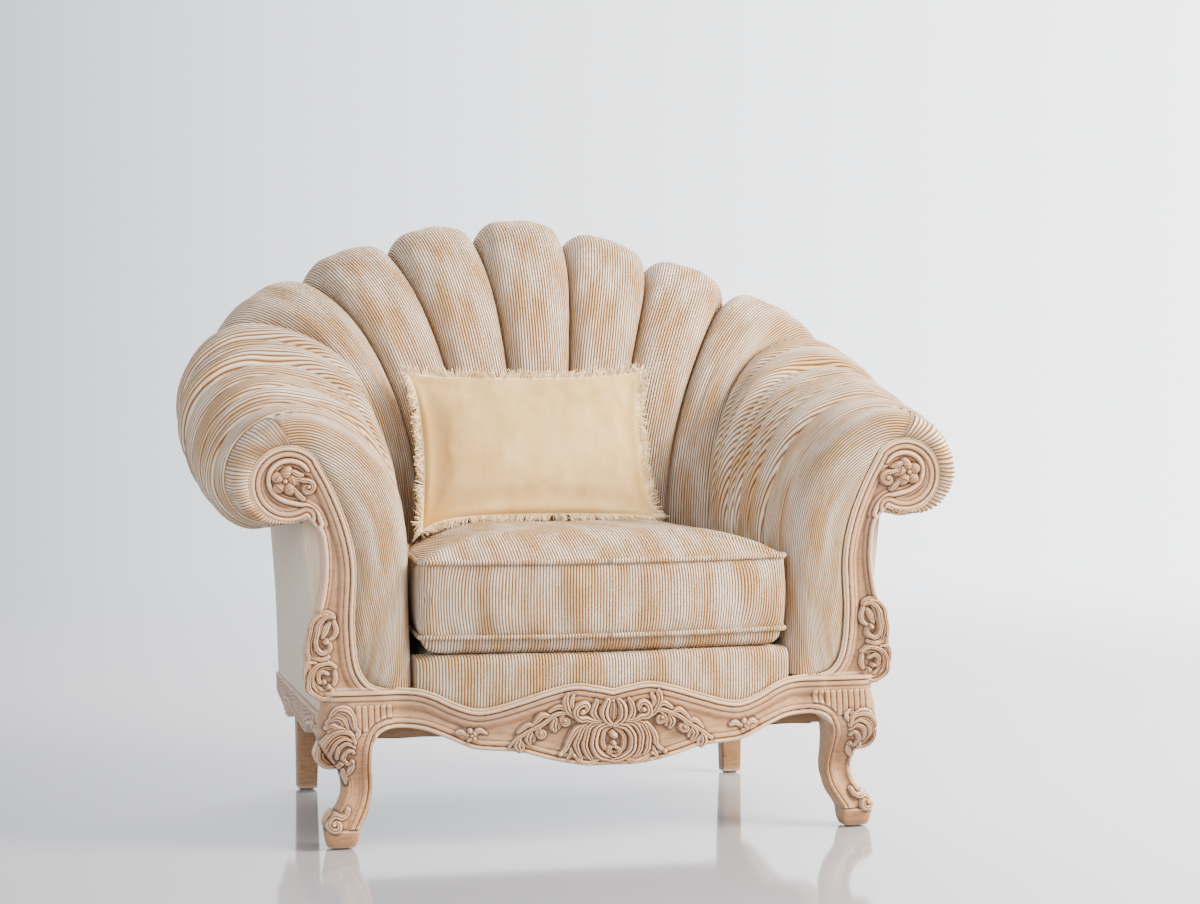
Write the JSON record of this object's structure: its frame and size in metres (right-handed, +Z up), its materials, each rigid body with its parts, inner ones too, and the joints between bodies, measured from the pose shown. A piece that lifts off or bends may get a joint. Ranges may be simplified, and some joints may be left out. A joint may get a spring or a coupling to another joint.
{
  "type": "armchair",
  "caption": "Shell-backed upholstered armchair with channelled back, rolled arms, carved cabriole show-wood frame, loose seat cushion and lumbar pillow.",
  "frame": {"origin": "on the floor, under the middle of the chair's overall box", "axes": "+X to the right of someone facing the chair, -Y towards its front, +Z up"},
  "size_m": [1.2218, 0.7674, 0.988],
  "materials": {
    "limed_wood": "limed show wood, satin",
    "carved_wood": "hand-carved limed wood, dry",
    "beech": "sawn beech, unfinished",
    "steel": "zinc plated",
    "jute_webbing": "woven",
    "deck_felt": "felted pad",
    "dust_cloth": "black woven cloth",
    "nylon_glide": "moulded",
    "ribbed_chenille": "ribbed, brushed",
    "plain_chenille": "plain, slubbed",
    "pillow_velvet": "short pile"
  },
  "bodies": {
    "chair": {"front_rail": "limed_wood", "front_leg_left": "limed_wood", "front_leg_right": "limed_wood", "arm_facing_left": "limed_wood", "arm_facing_right": "limed_wood", "side_rail_left": "limed_wood", "side_rail_right": "limed_wood", "apron_cartouche": "carved_wood", "apron_flowers": "carved_wood", "knee_carving_left": "carved_wood", "knee_carving_right": "carved_wood", "facing_acanthus_left": "carved_wood", "facing_acanthus_right": "carved_wood", "scroll_rosette_left": "carved_wood", "scroll_rosette_right": "carved_wood", "rear_leg_left": "limed_wood", "rear_leg_right": "limed_wood", "back_rail": "beech", "spring_rail": "beech", "crest_rail": "beech", "back_tack_rail": "beech", "arm_board_left": "beech", "arm_board_right": "beech", "arm_top_rail_left": "beech", "arm_top_rail_right": "beech", "arm_tack_rail_left": "beech", "arm_tack_rail_right": "beech", "corner_blocks": "beech", "corner_screws": "steel", "facing_screws": "steel", "seat_springs": "steel", "spring_clips": "steel", "back_webbing": "jute_webbing", "deck_pad": "deck_felt", "dust_cover": "dust_cloth", "foot_glides": "nylon_glide", "inside_back": "ribbed_chenille", "inside_arm_left": "ribbed_chenille", "inside_arm_right": "ribbed_chenille", "arm_front_pad_left": "ribbed_chenille", "arm_front_pad_right": "ribbed_chenille", "outside_back": "plain_chenille", "outside_arm_left": "plain_chenille", "outside_arm_right": "plain_chenille", "front_border": "ribbed_chenille"},
    "cushion": {"seat_cushion": "ribbed_chenille", "cushion_piping": "ribbed_chenille"},
    "pillow": {"lumbar_pillow": "pillow_velvet", "pillow_fringe": "pillow_velvet"}
  },
  "joints": [
    {"name": "cushion_lift", "type": "slide", "parent": "chair", "child": "cushion", "axis": [0, -0.5, 0.866], "range_m": [0, 0.25]},
    {"name": "pillow_lift", "type": "slide", "parent": "cushion", "child": "pillow", "axis": [0, -0.5, 0.866], "range_m": [0, 0.25]}
  ]
}
